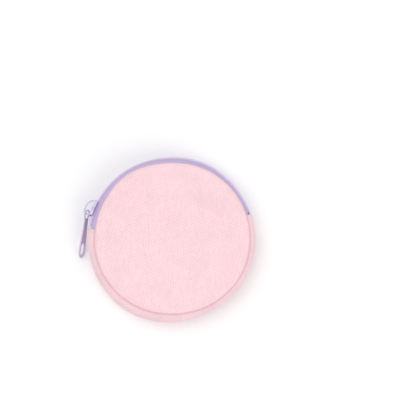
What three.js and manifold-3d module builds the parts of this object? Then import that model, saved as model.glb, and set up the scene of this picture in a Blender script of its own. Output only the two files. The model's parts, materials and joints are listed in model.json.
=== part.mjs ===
// A round denim pouch with a coil zip over its top half, lying on its back panel as on a table.
// Two round panels are joined by a side: the zip above and a denim band below. The side bulges
// out between the two seams, so it frames the front panel when seen from straight above.
// The origin is the middle of the face that it rests on. +Z is up through the front panel and
// +Y points to the middle of the zip. Lengths are in millimetres and angles in degrees,
// counted from +X towards +Y.
import * as THREE from "three";
import { mergeVertices } from "three/addons/utils/BufferGeometryUtils.js";
import Module from "manifold-3d";

// The pouch
const POUCH_RADIUS = 50; // middle to the widest line of the side
const SIDE_WIDTH = 16; // back seam to front seam
const SIDE_BULGE = 4; // seam to the widest line of the side
const BACK_RISE = 3; // height of the back seam over the resting face
const BACK_SHOULDER = 8; // width of the rounded border round the resting face
const FRONT_SHOULDER = 5; // width of the rounded border of the front panel
const FRONT_SHOULDER_RISE = 2.2; // height of that border over the front seam
const FRONT_DOME = 2.3; // further rise from the border to the middle
const CLOTH = 1.2; // denim wall
const SEAM_GAP = 0.3; // between two pieces that are sewn together

// The zip
const ZIP_HALF_ANGLE = 77; // from +Y to each end of the zip
const TAPE = 1; // woven tape
const TAPE_EDGE = 0.3; // centre line to the tape's edge where the zip is closed
const COIL_LIFT = 0.2; // gap between tape and coil
const COIL_HEIGHT = 1.2;
const COIL_HALF_WIDTH = 2.8; // centre line to the outer edge of one coil
const COIL_PITCH = 1.5; // one tooth to the next
const COIL_SPINE = 1.3; // width of the sewn-down part that carries the teeth
const TOOTH_WIDTH = 0.5;
const TOOTH_OVERLAP = 0.3; // how far a tooth reaches past the centre line
const COIL_END_GAP = 0.5; // band to the last turn of the coil
const PART_AT_POST = 1.2; // how far each half stands off the centre line at the slider's post
const PART_AT_END = 0.6; // the same where the open end goes into the band

// The slider
const SLIDER_ANGLE = 153.6; // where its middle is on the outline
const SLIDER_LENGTH = 10.4;
const SLIDER_CLEARANCE = 0.25; // to the coil and the tape
const SLIDER_PLATE = 0.8; // thickness of its outer and inner plate
const FLANGE_WALL = 0.8;
const FLANGE_LIFT = 0.5; // tape to the foot of the side flanges
const NOSE_HALF_WIDTH = 2; // of the outer plate at its ends
const INNER_PLATE_HALF_WIDTH = 3.2;
const POST_HALF_WIDTH = 0.55;
const POST_LENGTH = 2;
const POST_INSET = 0.9; // post to the slider's wide end
const PART_START = 2; // the halves start to part this far before the slider's middle
const CROWN_INSET = 0.3; // crown to the slider's ends
const CROWN_WALL = 0.9;
const CROWN_WIDTH = 1.2;

// The pull
const PULL_LENGTH = 29.9; // middle of its bar to its tip
const PULL_WIDTH = 6.4;
const PULL_THICKNESS = 1;
const BAR_WIDTH = 0.8; // of the bar through the crown
const BAR_PLAY = 1.3; // bar to the crown's end
const BAR_UNDER = 1.8; // slider to the bar
const BAR_OVER = 0.9; // bar to the crown's top
const EYE_LENGTH = 4.9;
const EYE_HALF_WIDTH = 2;
const SLOT_LENGTH = 7.7;
const SLOT_HALF_WIDTH = 1.9;
const SLOT_INSET = 1.7; // slot to the tip
const PULL_TILT = 24; // turn about its own length, upper edge outwards
const PULL_STAND_OFF = 2.5; // its middle line to the side of the pouch
const PULL_TIP_HEIGHT = 2.3; // of its middle line at the tip, over the resting face

// The outline of the pouch: rim is a share of POUCH_RADIUS and bulge a share of SIDE_BULGE.
const OUTLINE = [
  { at: 0, rim: 1.0, bulge: 0.9 },
  { at: 30, rim: 0.986, bulge: 0.71 },
  { at: 60, rim: 0.998, bulge: 0.98 },
  { at: 90, rim: 0.99, bulge: 1.04 },
  { at: 120, rim: 1.0, bulge: 0.88 },
  { at: 150, rim: 1.008, bulge: 1.17 },
  { at: 180, rim: 1.004, bulge: 1.1 },
  { at: 210, rim: 1.002, bulge: 1.13 },
  { at: 240, rim: 1.004, bulge: 1.32 },
  { at: 270, rim: 0.978, bulge: 1.09 },
  { at: 300, rim: 0.972, bulge: 0.77 },
  { at: 330, rim: 0.991, bulge: 0.8 },
];

// The pull's outline: along is a share of PULL_LENGTH from its bar, half a share of half its width.
const PULL_OUTLINE = [
  { along: 0.05, half: 0.88 },
  { along: 0.1, half: 0.86 },
  { along: 0.15, half: 0.68 },
  { along: 0.19, half: 0.55 },
  { along: 0.24, half: 0.6 },
  { along: 0.4, half: 0.74 },
  { along: 0.58, half: 0.88 },
  { along: 0.75, half: 0.99 },
  { along: 0.86, half: 0.99 },
  { along: 0.94, half: 0.8 },
  { along: 0.985, half: 0.4 },
  { along: 1, half: 0 },
];

// How finely the faceted surfaces are cut
const PANEL_COLUMNS = 52;
const SHOULDER_STEPS = 5;
const DOME_SHARES = [0, 0.35, 0.62, 0.83, 1];
const BAND_ROWS = 36;
const BAND_COLUMNS = 8;
const TAPE_COLUMNS = 4;
const ZIP_STEP = 4; // degrees
const ZIP_FINE_STEP = 2; // degrees, from the slider to the open end
const CROWN_STEPS = 12;
const PULL_STEPS = 30;

const wasm = await Module();
wasm.setup();

const { degToRad, radToDeg, euclideanModulo, smoothstep, lerp } = THREE.MathUtils;
const FRONT_SEAM = BACK_RISE + SIDE_WIDTH;
const SIDE_MIDDLE = BACK_RISE + SIDE_WIDTH / 2;
const ZIP_DROP = COIL_LIFT + COIL_HEIGHT; // rim to the tape's outer face
const ZIP_START = 90 - ZIP_HALF_ANGLE;
const ZIP_END = 90 + ZIP_HALF_ANGLE;
const PLATE_FLOOR = ZIP_DROP + SLIDER_CLEARANCE;
const PLATE_TOP = PLATE_FLOOR + SLIDER_PLATE;
const CROWN_HALF_LENGTH = SLIDER_LENGTH / 2 - CROWN_INSET;
const CROWN_CLEAR = BAR_UNDER + BAR_WIDTH + BAR_OVER; // clear height under the crown
const CROWN_SQUARENESS = 5; // of its wide end: 2 is an ellipse, and more has a fuller corner

const denim = new THREE.MeshStandardMaterial({ color: 0xf7d9df, roughness: 0.9, metalness: 0 });
const tapeCloth = new THREE.MeshStandardMaterial({ color: 0xbfaed3, roughness: 0.8, metalness: 0 });
const nylon = new THREE.MeshStandardMaterial({ color: 0xb5a5cc, roughness: 0.4, metalness: 0 });
const enamel = new THREE.MeshStandardMaterial({ color: 0xb9aed0, roughness: 0.25, metalness: 0.3 });

// A column of the outline table at any angle, on a smooth closed curve through its rows.
function outlineAt(angle, column) {
  const turn = euclideanModulo(angle, 360);
  const first = OUTLINE.findLastIndex((row) => row.at <= turn);
  const row = (step) => OUTLINE[euclideanModulo(first + step, OUTLINE.length)];
  const share = (turn - row(0).at) / euclideanModulo(row(1).at - row(0).at, 360);
  const [a, b, c, d] = [-1, 0, 1, 2].map((step) => row(step)[column]);
  const bend = 2 * a - 5 * b + 4 * c - d + share * (3 * (b - c) + d - a);
  return b + 0.5 * share * (c - a + share * bend);
}

const rimRadius = (angle) => POUCH_RADIUS * outlineAt(angle, "rim");
const seamRadius = (angle) => rimRadius(angle) - SIDE_BULGE * outlineAt(angle, "bulge");
const arcDegrees = (length) => radToDeg(length / POUCH_RADIUS);

function pointAt(angle, radius, height) {
  const turn = degToRad(angle);
  return new THREE.Vector3(radius * Math.cos(turn), radius * Math.sin(turn), height);
}

// The side's cross section from seam to seam: one arc whose middle lies drop inside the rim.
function sideArc(angle, drop) {
  const halfChord = (SIDE_WIDTH - SEAM_GAP) / 2;
  const middle = rimRadius(angle) - drop;
  const sagitta = middle - seamRadius(angle);
  const radius = (halfChord ** 2 + sagitta ** 2) / (2 * sagitta);
  return { radius, centre: middle - radius, reach: Math.asin(halfChord / radius) };
}

// A point on or over that arc, lean being the angle round the arc from its middle.
function sidePoint(angle, arc, lean, lift) {
  const reach = arc.radius + lift;
  const height = SIDE_MIDDLE + reach * Math.sin(lean);
  return pointAt(angle, arc.centre + reach * Math.cos(lean), height);
}

// How far one half of the zip stands off the centre line: nothing while it is closed, most at
// the slider's post, and less again where it goes into the band.
function partAt(angle) {
  const along = degToRad(angle - SLIDER_ANGLE) * POUCH_RADIUS;
  const postStart = SLIDER_LENGTH / 2 - POST_INSET - POST_LENGTH;
  const postEnd = SLIDER_LENGTH / 2;
  const zipEnd = degToRad(ZIP_END - SLIDER_ANGLE) * POUCH_RADIUS;
  const opening = PART_AT_POST * smoothstep(along, -PART_START, postStart);
  return lerp(opening, PART_AT_END, smoothstep(along, postEnd, zipEnd) * (along > postEnd));
}

// Closes a grid of outer points and the matching inner points into one wall, as a geometry.
// A ring joins its last row to its first. Triangles that shrink to a line are left out.
function wall(outer, inner, ring) {
  const triangles = [];
  const add = (...corners) => {
    const [a, b, c] = corners;
    const flat = a.distanceTo(b) < 1e-6 || b.distanceTo(c) < 1e-6 || c.distanceTo(a) < 1e-6;
    if (!flat) triangles.push(a, b, c);
  };
  const quad = (a, b, c, d) => {
    add(a, b, c);
    add(a, c, d);
  };
  const rows = outer.length;
  const last = outer[0].length - 1;
  for (let i = 0; i < (ring ? rows : rows - 1); i++) {
    const j = (i + 1) % rows;
    for (let k = 0; k < last; k++) {
      quad(outer[i][k], outer[j][k], outer[j][k + 1], outer[i][k + 1]);
      quad(inner[i][k + 1], inner[j][k + 1], inner[j][k], inner[i][k]);
    }
    quad(inner[i][0], inner[j][0], outer[j][0], outer[i][0]);
    quad(outer[i][last], outer[j][last], inner[j][last], inner[i][last]);
  }
  if (!ring) {
    for (let k = 0; k < last; k++) {
      quad(outer[0][k], outer[0][k + 1], inner[0][k + 1], inner[0][k]);
      quad(inner[rows - 1][k], inner[rows - 1][k + 1], outer[rows - 1][k + 1], outer[rows - 1][k]);
    }
  }
  return facingOut(new THREE.BufferGeometry().setFromPoints(triangles));
}

// Turns a closed geometry's triangles round if they face inwards.
function facingOut(geometry) {
  const position = geometry.getAttribute("position");
  const [a, b, c] = [0, 1, 2].map(() => new THREE.Vector3());
  let volume = 0;
  for (let i = 0; i < position.count; i += 3) {
    [a, b, c].forEach((corner, k) => corner.fromBufferAttribute(position, i + k));
    volume += a.dot(b.cross(c));
  }
  if (volume < 0) {
    for (let i = 0; i < position.count; i += 3) {
      a.fromBufferAttribute(position, i + 1);
      b.fromBufferAttribute(position, i + 2);
      position.setXYZ(i + 1, b.x, b.y, b.z);
      position.setXYZ(i + 2, a.x, a.y, a.z);
    }
  }
  geometry.computeVertexNormals();
  return geometry;
}

// A round panel. Its profile runs from the middle over a shallow dome to a rounded border that
// drops to the seam, up being 1 for the front panel and -1 for the back one.
function panel(seamHeight, up, shoulder, rise, dome, shares) {
  const profile = (radius, thickness) => {
    const flat = radius - shoulder;
    const over = shares.map((share) => [share * flat, rise - thickness + dome * (1 - share ** 2)]);
    for (let step = 1; step <= SHOULDER_STEPS; step++) {
      const turn = (step / SHOULDER_STEPS) * (Math.PI / 2);
      const out = flat + (shoulder - thickness) * Math.sin(turn);
      over.push([out, (rise - thickness) * Math.cos(turn)]);
    }
    return over;
  };
  const face = (thickness) =>
    Array.from({ length: PANEL_COLUMNS }, (_, i) => {
      const angle = (360 * i) / PANEL_COLUMNS;
      const points = profile(seamRadius(angle), thickness);
      return points.map(([radius, height]) => pointAt(angle, radius, seamHeight + up * height));
    });
  return wall(face(0), face(CLOTH), true);
}

function frontPanel() {
  const seam = FRONT_SEAM + SEAM_GAP / 2;
  return panel(seam, 1, FRONT_SHOULDER, FRONT_SHOULDER_RISE, FRONT_DOME, DOME_SHARES);
}

function backPanel() {
  const seam = BACK_RISE - SEAM_GAP / 2;
  return panel(seam, -1, BACK_SHOULDER, seam, 0, [0, 1]);
}

// The denim band round the lower half, from one end of the zip to the other.
function sideBand() {
  const start = ZIP_END + arcDegrees(SEAM_GAP / 2);
  const end = ZIP_START + 360 - arcDegrees(SEAM_GAP / 2);
  const face = (lift) =>
    Array.from({ length: BAND_ROWS + 1 }, (_, i) => {
      const angle = lerp(start, end, i / BAND_ROWS);
      const arc = sideArc(angle, 0);
      return Array.from({ length: BAND_COLUMNS + 1 }, (_, k) => {
        return sidePoint(angle, arc, arc.reach * (1 - (2 * k) / BAND_COLUMNS), lift);
      });
    });
  return wall(face(0), face(-CLOTH), false);
}

// The angles at which the tape is cut: coarse over the closed zip, fine round the slider.
function zipAngles() {
  const start = ZIP_START + arcDegrees(SEAM_GAP / 2);
  const end = ZIP_END - arcDegrees(SEAM_GAP / 2);
  const turn = SLIDER_ANGLE - arcDegrees(SLIDER_LENGTH / 2);
  const spread = (from, to, step) => {
    const count = Math.ceil((to - from) / step);
    return Array.from({ length: count }, (_, i) => lerp(from, to, i / count));
  };
  return [...spread(start, turn, ZIP_STEP), ...spread(turn, end, ZIP_FINE_STEP), end];
}

// One half of the tape, up being 1 for the half at the front panel and -1 for the other.
function zipTape(up) {
  const face = (lift) =>
    zipAngles().map((angle) => {
      const arc = sideArc(angle, ZIP_DROP);
      const edge = Math.asin((TAPE_EDGE + partAt(angle)) / arc.radius);
      return Array.from({ length: TAPE_COLUMNS + 1 }, (_, k) => {
        return sidePoint(angle, arc, up * lerp(arc.reach, edge, k / TAPE_COLUMNS), lift);
      });
    });
  return wall(face(0), face(-TAPE), false);
}

// One half of the coil: a comb whose sewn-down spine follows the tape, with teeth that reach past
// the centre line. The other half is set off by half a pitch, so the teeth interlock.
function zipCoil(up, offset) {
  const start = ZIP_START + arcDegrees(COIL_END_GAP);
  const length = degToRad(ZIP_END - ZIP_START) * POUCH_RADIUS - 2 * COIL_END_GAP;
  const spineEdge = COIL_HALF_WIDTH - COIL_SPINE;
  const rows = [{ along: 0, tip: spineEdge }];
  for (let middle = offset; middle + TOOTH_WIDTH / 2 < length; middle += COIL_PITCH) {
    const [left, right] = [middle - TOOTH_WIDTH / 2, middle + TOOTH_WIDTH / 2];
    rows.push({ along: left, tip: spineEdge }, { along: left, tip: -TOOTH_OVERLAP });
    rows.push({ along: right, tip: -TOOTH_OVERLAP }, { along: right, tip: spineEdge });
  }
  rows.push({ along: length, tip: spineEdge });
  const face = (lift) =>
    rows.map(({ along, tip }) => {
      const angle = start + arcDegrees(along);
      const arc = sideArc(angle, ZIP_DROP);
      return [COIL_HALF_WIDTH, spineEdge, tip].map((across) => {
        const lean = up * Math.asin((across + partAt(angle)) / (arc.radius + ZIP_DROP));
        return sidePoint(angle, arc, lean, lift);
      });
    });
  return wall(face(ZIP_DROP), face(COIL_LIFT), false);
}

// A closed geometry as a manifold-3d solid, and back.
function solidOf(geometry) {
  const bare = geometry.index ? geometry.toNonIndexed() : geometry.clone();
  bare.deleteAttribute("normal");
  bare.deleteAttribute("uv");
  const merged = mergeVertices(bare, 1e-4);
  return new wasm.Manifold(
    new wasm.Mesh({
      numProp: 3,
      vertProperties: new Float32Array(merged.attributes.position.array),
      triVerts: new Uint32Array(merged.index.array),
    }),
  );
}

function geometryOf(solid) {
  const made = solid.getMesh();
  const geometry = new THREE.BufferGeometry();
  geometry.setAttribute("position", new THREE.BufferAttribute(made.vertProperties, 3));
  geometry.setIndex(new THREE.BufferAttribute(made.triVerts, 1));
  const loose = geometry.toNonIndexed();
  loose.computeVertexNormals();
  return loose;
}

// A flat outline in the slider's own frame, where x points out of the pouch, y along the zip to
// its open end and z up. The outline's points are [y, z] and it is drawn out from x to x.
function plate(points, from, to) {
  const shape = new THREE.Shape(points.map(([along, across]) => new THREE.Vector2(along, across)));
  const geometry = new THREE.ExtrudeGeometry(shape, { depth: to - from, bevelEnabled: false });
  const turned = new THREE.Matrix4().makeBasis(
    new THREE.Vector3(0, 1, 0),
    new THREE.Vector3(0, 0, 1),
    new THREE.Vector3(1, 0, 0),
  );
  return geometry.applyMatrix4(turned).translate(from, 0, 0);
}

// Half the slider's inner width at a place along it: the coil, its parting and the clearance.
function channelHalfWidth(along) {
  return COIL_HALF_WIDTH + partAt(SLIDER_ANGLE + arcDegrees(along)) + SLIDER_CLEARANCE;
}

function zipSlider() {
  const half = SLIDER_LENGTH / 2;
  const stations = [-0.9, -0.5, -0.2, 0, 0.2, 0.45, 0.8].map((share) => share * half);
  const outer = stations.map((along) => [along, channelHalfWidth(along) + FLANGE_WALL]);
  const inner = stations.map((along) => [along, channelHalfWidth(along)]);
  const ends = [
    [-half, NOSE_HALF_WIDTH],
    [half, NOSE_HALF_WIDTH],
  ];
  const edge = [ends[0], ...outer, ends[1]];
  const mirrored = (points) => points.map(([along, across]) => [along, -across]).reverse();
  let body = solidOf(plate([...edge, ...mirrored(edge)].reverse(), PLATE_FLOOR, PLATE_TOP));
  const overlap = SLIDER_PLATE / 2;
  for (const strip of [
    [...outer, ...[...inner].reverse()].reverse(),
    [...mirrored(outer), ...mirrored(inner).reverse()].reverse(),
  ]) {
    body = body.add(solidOf(plate(strip, FLANGE_LIFT, PLATE_FLOOR + overlap)));
  }
  const arc = sideArc(SLIDER_ANGLE, ZIP_DROP);
  const across = arc.radius - Math.sqrt(arc.radius ** 2 - INNER_PLATE_HALF_WIDTH ** 2);
  const along = POUCH_RADIUS - Math.sqrt(POUCH_RADIUS ** 2 - half ** 2);
  const roof = -(TAPE + SLIDER_CLEARANCE + across + along);
  const corners = [
    [-half, -0.7],
    [-0.85 * half, -1],
    [0.85 * half, -1],
    [half, -0.7],
    [half, 0.7],
    [0.85 * half, 1],
    [-0.85 * half, 1],
    [-half, 0.7],
  ].map(([place, share]) => [place, share * INNER_PLATE_HALF_WIDTH]);
  body = body.add(solidOf(plate(corners, roof - SLIDER_PLATE, roof)));
  const postEnd = half - POST_INSET;
  const post = [
    [postEnd - POST_LENGTH, -POST_HALF_WIDTH / 2],
    [postEnd, -POST_HALF_WIDTH],
    [postEnd, POST_HALF_WIDTH],
    [postEnd - POST_LENGTH, POST_HALF_WIDTH / 2],
  ];
  body = body.add(solidOf(plate(post, roof - overlap, PLATE_FLOOR + overlap)));
  return geometryOf(body.add(solidOf(crown())));
}

// The crown: an arched strip over the outer plate, under which the pull's bar turns.
function crown() {
  const arch = new THREE.Shape();
  const ring = (halfLength, height, step) => {
    const turn = (Math.PI * step) / CROWN_STEPS;
    const power = Math.cos(turn) > 0 ? 2 / CROWN_SQUARENESS : 1;
    const along = Math.sign(Math.cos(turn)) * Math.abs(Math.cos(turn)) ** power;
    return [halfLength * along, PLATE_TOP + height * Math.sin(turn) ** power];
  };
  const foot = PLATE_FLOOR + SLIDER_PLATE / 2;
  arch.moveTo(CROWN_HALF_LENGTH, foot);
  for (let step = 0; step < CROWN_STEPS; step++) {
    arch.lineTo(...ring(CROWN_HALF_LENGTH, CROWN_CLEAR + CROWN_WALL, step));
  }
  arch.lineTo(-CROWN_HALF_LENGTH, foot);
  arch.lineTo(-CROWN_HALF_LENGTH + CROWN_WALL, foot);
  for (let step = CROWN_STEPS - 1; step >= 0; step--) {
    arch.lineTo(...ring(CROWN_HALF_LENGTH - CROWN_WALL, CROWN_CLEAR, step));
  }
  arch.lineTo(CROWN_HALF_LENGTH - CROWN_WALL, foot);
  const strip = new THREE.ExtrudeGeometry(arch, { depth: CROWN_WIDTH, bevelEnabled: false });
  const turned = new THREE.Matrix4().makeBasis(
    new THREE.Vector3(0, 1, 0),
    new THREE.Vector3(1, 0, 0),
    new THREE.Vector3(0, 0, -1),
  );
  return facingOut(strip.translate(0, 0, -CROWN_WIDTH / 2).applyMatrix4(turned));
}

// The pull: a flat blade with a round head, whose bar lies on the swing axis at the origin. It
// runs along y, its width along z and its thickness along x.
function zipPull() {
  const [first] = PULL_OUTLINE;
  const headLength = first.along * PULL_LENGTH + BAR_WIDTH / 2;
  const headHalf = (first.half * PULL_WIDTH) / 2;
  const head = [-90, -60, -30].map((turn) => {
    const angle = degToRad(turn);
    const along = first.along * PULL_LENGTH + headLength * Math.sin(angle);
    return new THREE.Vector2(along, headHalf * Math.cos(angle));
  });
  const blade = PULL_OUTLINE.map(({ along, half }) => {
    return new THREE.Vector2(along * PULL_LENGTH, (half * PULL_WIDTH) / 2);
  });
  const side = new THREE.SplineCurve([...head, ...blade]).getPoints(PULL_STEPS);
  const other = side.slice(1, -1).map(({ x, y }) => new THREE.Vector2(x, -y));
  const shape = new THREE.Shape([...side, ...other.reverse()]);
  const [eyeStart, eyeEnd] = [BAR_WIDTH / 2, BAR_WIDTH / 2 + EYE_LENGTH];
  const eye = new THREE.Path();
  eye.absellipse(eyeStart + EYE_HALF_WIDTH / 2, 0, EYE_HALF_WIDTH / 2, EYE_HALF_WIDTH, Math.PI / 2, 1.5 * Math.PI);
  eye.absellipse(eyeEnd - EYE_HALF_WIDTH, 0, EYE_HALF_WIDTH, EYE_HALF_WIDTH, 1.5 * Math.PI, 2.5 * Math.PI);
  const slot = new THREE.Path();
  const slotMiddle = PULL_LENGTH - SLOT_INSET - SLOT_LENGTH / 2;
  slot.absellipse(slotMiddle, 0, SLOT_LENGTH / 2, SLOT_HALF_WIDTH, 0, 2 * Math.PI);
  shape.holes.push(eye, slot);
  const blank = new THREE.ExtrudeGeometry(shape, {
    depth: PULL_THICKNESS,
    bevelEnabled: false,
    curveSegments: 7,
  });
  const turned = new THREE.Matrix4().makeBasis(
    new THREE.Vector3(0, 1, 0),
    new THREE.Vector3(0, 0, 1),
    new THREE.Vector3(1, 0, 0),
  );
  return facingOut(blank.translate(0, 0, -PULL_THICKNESS / 2).applyMatrix4(turned));
}

function named(name, geometry, material) {
  const mesh = new THREE.Mesh(geometry, material);
  mesh.name = name;
  return mesh;
}

const pouch = new THREE.Group();
pouch.add(
  named("front_panel", frontPanel(), denim),
  named("back_panel", backPanel(), denim),
  named("side_band", sideBand(), denim),
  named("zip_tape_front", zipTape(1), tapeCloth),
  named("zip_tape_back", zipTape(-1), tapeCloth),
  named("zip_coil_front", zipCoil(1, COIL_PITCH / 2), nylon),
  named("zip_coil_back", zipCoil(-1, COIL_PITCH), nylon),
);

// The slider's frame stands on the tape's outer face, x out of the pouch and y along the zip.
const sliderFrame = new THREE.Group();
const seat = pointAt(SLIDER_ANGLE, rimRadius(SLIDER_ANGLE) - ZIP_DROP, SIDE_MIDDLE);
sliderFrame.position.copy(seat);
sliderFrame.rotation.z = degToRad(SLIDER_ANGLE);
sliderFrame.add(named("zip_slider", zipSlider(), enamel));

// The pull hangs from the crown's wide end, close along the side, with its tip just over the
// surface that the pouch lies on.
const pull = named("zip_pull", zipPull(), enamel);
const pivotAlong = CROWN_HALF_LENGTH - CROWN_WALL - BAR_PLAY - BAR_WIDTH / 2;
const pivotOut = PLATE_TOP + BAR_UNDER + BAR_WIDTH / 2;
const pivotRadius = Math.hypot(seat.x, seat.y) + pivotOut;
const pivotReach = Math.hypot(pivotRadius, pivotAlong);
const closest = Math.min(pivotReach, rimRadius(SLIDER_ANGLE) + PULL_STAND_OFF);
const lean = Math.atan2(pivotAlong, pivotRadius) + Math.acos(closest / pivotReach);
const droop = Math.asin((SIDE_MIDDLE - PULL_TIP_HEIGHT) / PULL_LENGTH);
pull.position.set(pivotOut, pivotAlong, 0);
pull.rotation.order = "ZXY";
pull.rotation.set(-droop, degToRad(PULL_TILT), lean);
sliderFrame.add(pull);
pouch.add(sliderFrame);

export default pouch;
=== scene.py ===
"""A round denim zip pouch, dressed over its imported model: cloth, zip, slider, pull and stage.

Everything is in metres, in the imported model's own frame: the pouch lies on z = 0 with its front
panel up, and +Y points to the middle of the zip. Angles round the pouch are in degrees, counted
from +X towards +Y. A place on the side is given by its angle, by how far it lies across the side
from the middle line (plus is towards the front panel) and by its lift over the cloth.
"""

import json
import math

import bmesh
import bpy
from bpy.props import FloatProperty, FloatVectorProperty, IntProperty, PointerProperty
from mathutils import Matrix, Vector, noise


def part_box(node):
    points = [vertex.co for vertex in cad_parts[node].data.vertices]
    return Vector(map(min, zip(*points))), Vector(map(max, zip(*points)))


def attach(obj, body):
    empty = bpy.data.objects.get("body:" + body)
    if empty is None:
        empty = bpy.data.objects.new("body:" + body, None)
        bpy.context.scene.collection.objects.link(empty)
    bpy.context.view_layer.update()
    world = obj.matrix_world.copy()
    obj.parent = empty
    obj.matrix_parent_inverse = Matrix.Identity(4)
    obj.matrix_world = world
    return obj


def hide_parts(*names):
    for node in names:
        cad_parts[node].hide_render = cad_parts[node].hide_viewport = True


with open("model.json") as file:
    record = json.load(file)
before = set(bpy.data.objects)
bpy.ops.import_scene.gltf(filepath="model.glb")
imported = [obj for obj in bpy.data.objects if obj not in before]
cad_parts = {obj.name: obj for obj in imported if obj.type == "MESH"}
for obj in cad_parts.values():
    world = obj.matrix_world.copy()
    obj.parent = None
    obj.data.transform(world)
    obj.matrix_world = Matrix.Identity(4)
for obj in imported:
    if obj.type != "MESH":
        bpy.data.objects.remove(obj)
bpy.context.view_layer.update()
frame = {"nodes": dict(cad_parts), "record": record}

bl_info = {
    "name": "Denim Pouch",
    "version": (1, 0, 0),
    "blender": (4, 5, 0),
    "location": "View3D > Sidebar > Pouch",
    "description": "Dresses a packed round zip pouch in denim, woven tape, nylon and enamel",
    "category": "Add Mesh",
}

MM = 0.001
FRONT_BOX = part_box("front_panel")
BACK_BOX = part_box("back_panel")
BAND_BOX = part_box("side_band")

# The outline: rim is a share of the pouch's radius and bulge a share of the side's bulge.
OUTLINE = [
    {"at": 0, "rim": 1.0, "bulge": 0.9},
    {"at": 30, "rim": 0.986, "bulge": 0.71},
    {"at": 60, "rim": 0.998, "bulge": 0.98},
    {"at": 90, "rim": 0.99, "bulge": 1.04},
    {"at": 120, "rim": 1.0, "bulge": 0.88},
    {"at": 150, "rim": 1.008, "bulge": 1.17},
    {"at": 180, "rim": 1.004, "bulge": 1.1},
    {"at": 210, "rim": 1.002, "bulge": 1.13},
    {"at": 240, "rim": 1.004, "bulge": 1.32},
    {"at": 270, "rim": 0.978, "bulge": 1.09},
    {"at": 300, "rim": 0.972, "bulge": 0.77},
    {"at": 330, "rim": 0.991, "bulge": 0.8},
]


# Sizes and colours


def length(name, description, millimetres):
    """A length property, given in millimetres and kept in metres."""
    return FloatProperty(
        name=name,
        description=description,
        default=millimetres * MM,
        min=0,
        precision=5,
        unit="LENGTH",
        subtype="DISTANCE",
    )


def tint(name, description, red, green, blue):
    """A colour property, given as display values from 0 to 255 and kept as linear light."""

    def linear(value):
        value /= 255
        return value / 12.92 if value <= 0.04045 else ((value + 0.055) / 1.055) ** 2.4

    return FloatVectorProperty(
        name=name,
        description=description,
        default=(linear(red), linear(green), linear(blue)),
        size=3,
        min=0,
        max=1,
        subtype="COLOR",
    )


class PouchSizes(bpy.types.PropertyGroup):
    radius: length("Radius", "Middle to the widest line of the side", 50)
    side_bulge: length("Side bulge", "Seam to the widest line of the side", 4)
    cloth: length("Cloth", "Thickness of the denim", 1.1)
    front_shoulder: length("Front shoulder", "Width of the front panel's rounded border", 5)
    front_shoulder_rise: length("Front shoulder rise", "Height of that border", 2.2)
    back_shoulder: length("Back shoulder", "Width of the back panel's rounded border", 8)
    turn_radius: length("Turn radius", "Radius of a cloth edge that turns into a seam", 0.8)
    turned_in: length("Turned in", "Cloth that goes straight into the seam", 0.5)
    wave: length("Wave", "Height of the panel's soft waves", 0.5)
    band_wave: length("Band wave", "Height of the soft waves of the band", 0.3)
    pucker: length("Pucker", "Height of the small gathers along the seams", 0.3)
    pucker_reach: length("Pucker reach", "How far the gathers run from the seam", 4.5)
    stitch_pitch: length("Stitch pitch", "One stitch of the seam to the next", 2.8)
    stitch_dimple: length("Stitch dimple", "How deep a stitch pulls the cloth in", 0.12)
    stitch_reach: length("Stitch reach", "How far such a dimple runs from the seam", 1.3)
    end_slant: length("End slant", "How far the band's end by the slider runs back", 0.9)
    end_fold: length("End fold", "Radius of the band's folded ends", 0.55)


class ZipSizes(bpy.types.PropertyGroup):
    half_angle: FloatProperty(
        name="Half angle",
        description="From +Y to each end of the zip",
        default=math.radians(77),
        subtype="ANGLE",
    )
    slider_angle: FloatProperty(
        name="Slider angle",
        description="Where the slider's middle is on the outline",
        default=math.radians(153.6),
        subtype="ANGLE",
    )
    drop: length("Drop", "Rim of the pouch to the tape's outer face", 1.4)
    tape: length("Tape", "Thickness of the woven tape", 0.8)
    tape_edge: length("Tape edge", "Centre line to the tape's edge where the zip is closed", 0.3)
    tape_in_seam: length("Tape in the seam", "Part of each tape's width that is sewn in", 2.2)
    tape_under_band: length("Tape under the band", "How far the tape runs on below it", 3)
    coil_start: length("Coil start", "End of the zip to the first turn of the coil", 0.4)
    coil_pitch: length("Coil pitch", "One turn to the next", 1.5)
    coil_wire: length("Coil wire", "Thickness of the nylon wire", 0.56)
    coil_height: length("Coil height", "Height of a turn over all", 1.15)
    coil_outer: length("Coil outer edge", "Centre line to the outer edge of one coil", 2.8)
    coil_overlap: length("Coil overlap", "How far a turn reaches past the centre line", 0.42)
    thread: length("Thread", "Thickness of the sewing thread over the coil", 0.26)
    cord: length("Cord", "Thickness of the cord inside the coil", 0.85)
    bed: length("Bed", "Thickness of the row of thread that the coil's outer edge lies on", 0.42)
    slider_length: length("Slider length", "Over all", 10.4)
    part_start: length("Part start", "The halves part this far before the slider's middle", 2)
    part_full: length("Part full", "The halves are fully apart this far past its middle", 2.3)
    part_at_post: length("Part at post", "Each half off the centre line at the slider's post", 1.2)
    part_at_end: length("Part at end", "The same where the open end meets the band", 0.6)


class MetalSizes(bpy.types.PropertyGroup):
    grain: length("Grain", "Size of a face of the cast skin", 0.09)
    softening: IntProperty(
        name="Softening",
        description="How often the cast skin is smoothed, which rounds its edges",
        default=8,
        min=0,
    )
    pull_rim: length("Pull rim", "Width of the round rim along the pull's outline", 0.8)
    pull_hollow: length("Pull hollow", "Depth of the pull's faces inside that rim", 0.2)


class Mesh(bpy.types.PropertyGroup):
    columns: IntProperty(
        name="Columns",
        description="Steps round a panel",
        default=360,
        min=48,
    )
    step: length("Step", "Size of a face on the band and the tape", 0.75)
    coil_steps: IntProperty(
        name="Coil steps",
        description="Points in one turn of the coil",
        default=16,
        min=8,
    )


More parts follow.
